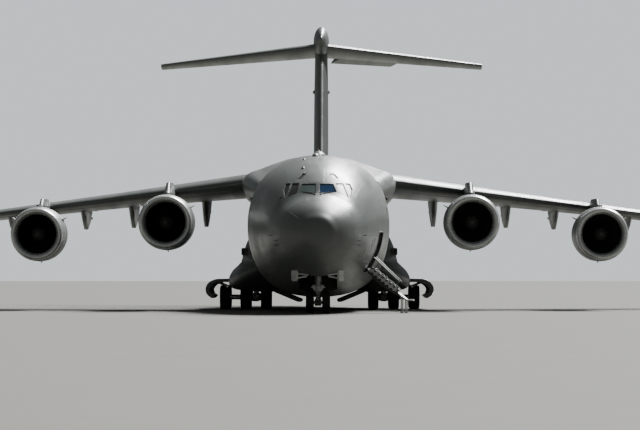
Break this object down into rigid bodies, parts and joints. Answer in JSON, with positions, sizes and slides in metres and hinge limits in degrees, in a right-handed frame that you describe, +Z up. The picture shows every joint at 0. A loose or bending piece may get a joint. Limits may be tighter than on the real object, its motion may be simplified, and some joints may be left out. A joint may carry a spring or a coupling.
{
  "type": "military transport plane, scale model 1:2",
  "caption": "High-wing jet transport with T-tail and turbofans under a swept wing, parked on its wheels with the crew stair open; control surfaces, ramp, cargo door, fans and wheels move.",
  "frame": {"origin": "on the ground at the centre of the bounding box", "axes": "+Y from nose to tail, +Z up, +X to the left of someone facing forward"},
  "size_m": [25.872, 26.5199, 8.395],
  "materials": {
    "grey_skin": "satin grey paint over aluminium skin",
    "radome_skin": "matt darker grey paint over glass fibre",
    "composite_skin": "satin grey paint over composite panels",
    "engine_cowl": "satin grey paint, bare metal lip",
    "fan_metal": "dark brushed titanium blades and spinner",
    "window_glass": "coated laminated windscreen panes",
    "gear_metal": "gloss light grey enamel on steel",
    "door_white": "satin pale grey paint over aluminium",
    "deck_metal": "worn matt grey non-slip paint",
    "tyre_rubber": "matt black rubber with ribs",
    "step_metal": "bare aluminium treads and rails"
  },
  "bodies": {
    "airframe": {"radome": "radome_skin", "cockpit_section": "grey_skin", "cockpit_glazing": "window_glass", "flight_deck": "deck_metal", "crew_door": "step_metal", "lower_step": "step_metal", "cargo_floor": "deck_metal", "fuselage_barrel": "grey_skin", "rear_fuselage": "grey_skin", "wing_root_fairing": "grey_skin", "wing_left": "grey_skin", "wing_right": "grey_skin", "nacelle_inner_left": "engine_cowl", "nacelle_inner_right": "engine_cowl", "nacelle_outer_left": "engine_cowl", "nacelle_outer_right": "engine_cowl", "sponson_left": "grey_skin", "sponson_right": "grey_skin", "main_leg_front_left": "gear_metal", "main_leg_front_right": "gear_metal", "main_leg_rear_left": "gear_metal", "main_leg_rear_right": "gear_metal", "main_outer_door_left": "door_white", "main_outer_door_right": "door_white", "main_inner_door_left": "door_white", "main_inner_door_right": "door_white", "nose_gear_door_left": "door_white", "nose_gear_door_right": "door_white", "nose_leg": "gear_metal", "fin": "grey_skin", "tailplane": "grey_skin", "tail_bullet": "composite_skin"},
    "flap_inner_left": {"flap_inner_left": "grey_skin"},
    "flap_inner_right": {"flap_inner_right": "grey_skin"},
    "flap_outer_left": {"flap_outer_left": "grey_skin"},
    "flap_outer_right": {"flap_outer_right": "grey_skin"},
    "aileron_left": {"aileron_left": "grey_skin"},
    "aileron_right": {"aileron_right": "grey_skin"},
    "elevator_inner_left": {"elevator_inner_left": "composite_skin"},
    "elevator_inner_right": {"elevator_inner_right": "composite_skin"},
    "elevator_outer_left": {"elevator_outer_left": "composite_skin"},
    "elevator_outer_right": {"elevator_outer_right": "composite_skin"},
    "rudder_lower": {"rudder_lower": "composite_skin"},
    "rudder_upper": {"rudder_upper": "composite_skin"},
    "fan_inner_left": {"fan_inner_left": "fan_metal"},
    "fan_inner_right": {"fan_inner_right": "fan_metal"},
    "fan_outer_left": {"fan_outer_left": "fan_metal"},
    "fan_outer_right": {"fan_outer_right": "fan_metal"},
    "main_wheels_front_left": {"main_wheels_front_left": "tyre_rubber"},
    "main_wheels_front_right": {"main_wheels_front_right": "tyre_rubber"},
    "main_wheels_rear_left": {"main_wheels_rear_left": "tyre_rubber"},
    "main_wheels_rear_right": {"main_wheels_rear_right": "tyre_rubber"},
    "nose_steering": {"nose_steering": "gear_metal"},
    "nose_wheels": {"nose_wheels": "tyre_rubber"},
    "cargo_ramp": {"cargo_ramp": "grey_skin"},
    "cargo_door": {"cargo_door": "grey_skin"}
  },
  "joints": [
    {"name": "flap_inner_left_hinge", "type": "hinge", "parent": "airframe", "child": "flap_inner_left", "pos_m": [2.3, -0.50769, 2.59605], "axis": [-0.9818, -0.1845, 0.0457], "range_deg": [0, 40]},
    {"name": "flap_inner_right_hinge", "type": "hinge", "parent": "airframe", "child": "flap_inner_right", "pos_m": [-2.3, -0.50769, 2.59605], "axis": [-0.9818, 0.1845, -0.0457], "range_deg": [0, 40]},
    {"name": "flap_outer_left_hinge", "type": "hinge", "parent": "airframe", "child": "flap_outer_left", "pos_m": [5.34, 0.08992, 2.45191], "axis": [-0.9492, -0.3093, 0.0581], "range_deg": [0, 40]},
    {"name": "flap_outer_right_hinge", "type": "hinge", "parent": "airframe", "child": "flap_outer_right", "pos_m": [-5.34, 0.08992, 2.45191], "axis": [-0.9492, 0.3093, -0.0581], "range_deg": [0, 40]},
    {"name": "aileron_left_hinge", "type": "hinge", "parent": "airframe", "child": "aileron_left", "pos_m": [8.95, 1.34432, 2.45772], "axis": [-0.9485, -0.3014, 0.0971], "range_deg": [-25, 25]},
    {"name": "aileron_right_hinge", "type": "hinge", "parent": "airframe", "child": "aileron_right", "pos_m": [-8.95, 1.34432, 2.45772], "axis": [-0.9485, 0.3014, -0.0971], "range_deg": [-25, 25]},
    {"name": "elevator_inner_left_hinge", "type": "hinge", "parent": "airframe", "child": "elevator_inner_left", "pos_m": [0.54, 11.33371, 7.61575], "axis": [-0.9418, -0.3309, 0.0603], "range_deg": [-36, 4]},
    {"name": "elevator_inner_right_hinge", "type": "hinge", "parent": "airframe", "child": "elevator_inner_right", "pos_m": [-0.54, 11.33371, 7.61575], "axis": [-0.9418, 0.3309, -0.0603], "range_deg": [-25, 15]},
    {"name": "elevator_outer_left_hinge", "type": "hinge", "parent": "airframe", "child": "elevator_outer_left", "pos_m": [2.405, 11.98892, 7.49624], "axis": [-0.9418, -0.3309, 0.0603], "range_deg": [-25, 15]},
    {"name": "elevator_outer_right_hinge", "type": "hinge", "parent": "airframe", "child": "elevator_outer_right", "pos_m": [-2.405, 11.98892, 7.49624], "axis": [-0.9418, 0.3309, -0.0603], "range_deg": [-25, 15]},
    {"name": "rudder_lower_hinge", "type": "hinge", "parent": "airframe", "child": "rudder_lower", "pos_m": [0, 9.62432, 4.15], "axis": [0, 0.4314, 0.9021], "range_deg": [-25, 25]},
    {"name": "rudder_upper_hinge", "type": "hinge", "parent": "airframe", "child": "rudder_upper", "pos_m": [0, 10.39904, 5.77], "axis": [0, 0.4314, 0.9021], "range_deg": [-25, 25]},
    {"name": "fan_inner_left_spin", "type": "hinge", "parent": "airframe", "child": "fan_inner_left", "pos_m": [3.83, -5.86, 2.22], "axis": [0, 1, 0], "continuous": true},
    {"name": "fan_inner_right_spin", "type": "hinge", "parent": "airframe", "child": "fan_inner_right", "pos_m": [-3.83, -5.86, 2.22], "axis": [0, 1, 0], "continuous": true},
    {"name": "fan_outer_left_spin", "type": "hinge", "parent": "airframe", "child": "fan_outer_left", "pos_m": [7.21, -4.11, 1.95], "axis": [0, 1, 0], "continuous": true},
    {"name": "fan_outer_right_spin", "type": "hinge", "parent": "airframe", "child": "fan_outer_right", "pos_m": [-7.21, -4.11, 1.95], "axis": [0, 1, 0], "continuous": true},
    {"name": "main_wheels_front_left_roll", "type": "hinge", "parent": "airframe", "child": "main_wheels_front_left", "pos_m": [1.96, -1.21, 0.3175], "axis": [1, 0, 0], "continuous": true},
    {"name": "main_wheels_front_right_roll", "type": "hinge", "parent": "airframe", "child": "main_wheels_front_right", "pos_m": [-1.96, -1.21, 0.3175], "axis": [1, 0, 0], "continuous": true},
    {"name": "main_wheels_rear_left_roll", "type": "hinge", "parent": "airframe", "child": "main_wheels_rear_left", "pos_m": [1.96, 0.14, 0.3175], "axis": [1, 0, 0], "continuous": true},
    {"name": "main_wheels_rear_right_roll", "type": "hinge", "parent": "airframe", "child": "main_wheels_rear_right", "pos_m": [-1.96, 0.14, 0.3175], "axis": [1, 0, 0], "continuous": true},
    {"name": "nose_steering_swivel", "type": "hinge", "parent": "airframe", "child": "nose_steering", "pos_m": [0, -10.56, 0.5], "axis": [0, 0, 1], "range_deg": [-65, 65]},
    {"name": "nose_wheels_roll", "type": "hinge", "parent": "nose_steering", "child": "nose_wheels", "pos_m": [0, -10.56, 0.254], "axis": [1, 0, 0], "continuous": true},
    {"name": "cargo_ramp_hinge", "type": "hinge", "parent": "airframe", "child": "cargo_ramp", "pos_m": [0, 3.15, 0.395], "axis": [-1, 0, 0], "range_deg": [0, 24]},
    {"name": "cargo_door_hinge", "type": "hinge", "parent": "airframe", "child": "cargo_door", "pos_m": [0, 8.81, 2.475], "axis": [-1, 0, 0], "range_deg": [0, 24]}
  ]
}
